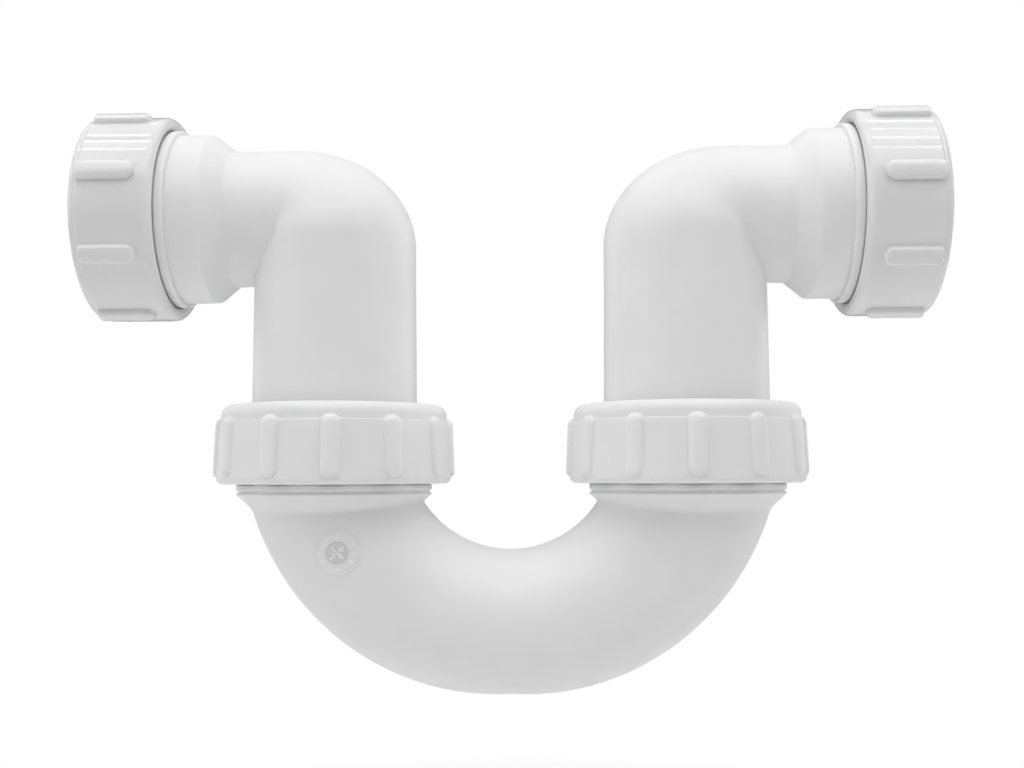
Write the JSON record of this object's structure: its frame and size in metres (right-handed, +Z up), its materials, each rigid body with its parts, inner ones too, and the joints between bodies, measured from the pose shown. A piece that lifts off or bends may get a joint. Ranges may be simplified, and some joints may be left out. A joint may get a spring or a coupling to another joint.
{
  "type": "u trap",
  "caption": "Running U trap in white polypropylene: a tapered U bend joins two swivelling elbows by ribbed compression nuts, with like nuts on the inlet and outlet pipe sockets",
  "frame": {"origin": "midway between the two legs, on the common axis of the inlet and outlet pipes", "axes": "+X runs along the pipes towards the outlet, +Z is up, and the front of the trap faces -Y"},
  "size_m": [0.2194, 0.0634, 0.1539],
  "materials": {
    "bend_polypropylene": "satin as moulded white polypropylene",
    "elbow_polypropylene": "satin as moulded white polypropylene",
    "bend_nut_polypropylene": "dull as moulded white polypropylene",
    "socket_nut_polypropylene": "glossy white polypropylene",
    "washer_polyethylene": "plain natural polyethylene",
    "seal_rubber": "plain dull rubber"
  },
  "bodies": {
    "bend": {"u_bend": "bend_polypropylene"},
    "inlet_seat": {"inlet_bend_seal": "seal_rubber"},
    "inlet_elbow_body": {"inlet_elbow": "elbow_polypropylene", "inlet_socket_seal": "seal_rubber"},
    "inlet_bend_slide": {"inlet_bend_washer": "washer_polyethylene"},
    "inlet_bend_nut_body": {"inlet_bend_nut": "bend_nut_polypropylene"},
    "inlet_socket_slide": {"inlet_socket_washer": "washer_polyethylene"},
    "inlet_socket_nut_body": {"inlet_socket_nut": "socket_nut_polypropylene"},
    "outlet_seat": {"outlet_bend_seal": "seal_rubber"},
    "outlet_elbow_body": {"outlet_elbow": "elbow_polypropylene", "outlet_socket_seal": "seal_rubber"},
    "outlet_bend_slide": {"outlet_bend_washer": "washer_polyethylene"},
    "outlet_bend_nut_body": {"outlet_bend_nut": "bend_nut_polypropylene"},
    "outlet_socket_slide": {"outlet_socket_washer": "washer_polyethylene"},
    "outlet_socket_nut_body": {"outlet_socket_nut": "socket_nut_polypropylene"}
  },
  "joints": [
    {"name": "inlet_swivel", "type": "hinge", "parent": "bend", "child": "inlet_seat", "pos_m": [-0.0465, 0, 0], "axis": [0, 0, 1], "range_deg": [-100, 100]},
    {"name": "inlet_height", "type": "slide", "parent": "inlet_seat", "child": "inlet_elbow_body", "axis": [0, 0, 1], "range_m": [0, 0.01]},
    {"name": "inlet_bend_nut_turn", "type": "hinge", "parent": "inlet_bend_slide", "child": "inlet_bend_nut_body", "pos_m": [-0.0465, 0, -0.059], "axis": [0, 0, 1], "range_deg": [0, 1800]},
    {"name": "inlet_bend_nut_travel", "type": "slide", "parent": "bend", "child": "inlet_bend_slide", "axis": [0, 0, 1], "range_m": [0, 0.0116]},
    {"name": "inlet_socket_nut_turn", "type": "hinge", "parent": "inlet_socket_slide", "child": "inlet_socket_nut_body", "pos_m": [-0.1013, 0, 0], "axis": [-1, 0, 0], "range_deg": [0, 1800]},
    {"name": "inlet_socket_nut_travel", "type": "slide", "parent": "inlet_elbow_body", "child": "inlet_socket_slide", "axis": [-1, 0, 0], "range_m": [0, 0.0116]},
    {"name": "outlet_swivel", "type": "hinge", "parent": "bend", "child": "outlet_seat", "pos_m": [0.0465, 0, 0], "axis": [0, 0, 1], "range_deg": [-100, 100]},
    {"name": "outlet_height", "type": "slide", "parent": "outlet_seat", "child": "outlet_elbow_body", "axis": [0, 0, 1], "range_m": [0, 0.01]},
    {"name": "outlet_bend_nut_turn", "type": "hinge", "parent": "outlet_bend_slide", "child": "outlet_bend_nut_body", "pos_m": [0.0465, 0, -0.059], "axis": [0, 0, 1], "range_deg": [0, 1800]},
    {"name": "outlet_bend_nut_travel", "type": "slide", "parent": "bend", "child": "outlet_bend_slide", "axis": [0, 0, 1], "range_m": [0, 0.0116]},
    {"name": "outlet_socket_nut_turn", "type": "hinge", "parent": "outlet_socket_slide", "child": "outlet_socket_nut_body", "pos_m": [0.1013, 0, 0], "axis": [1, 0, 0], "range_deg": [0, 1800]},
    {"name": "outlet_socket_nut_travel", "type": "slide", "parent": "outlet_elbow_body", "child": "outlet_socket_slide", "axis": [1, 0, 0], "range_m": [0, 0.0116]}
  ],
  "couplings": [
    {"joint": "inlet_bend_nut_travel", "follows": "inlet_bend_nut_turn", "m_per_rad": 0.00036749},
    {"joint": "inlet_socket_nut_travel", "follows": "inlet_socket_nut_turn", "m_per_rad": 0.00036749},
    {"joint": "outlet_bend_nut_travel", "follows": "outlet_bend_nut_turn", "m_per_rad": 0.00036749},
    {"joint": "outlet_socket_nut_travel", "follows": "outlet_socket_nut_turn", "m_per_rad": 0.00036749}
  ]
}
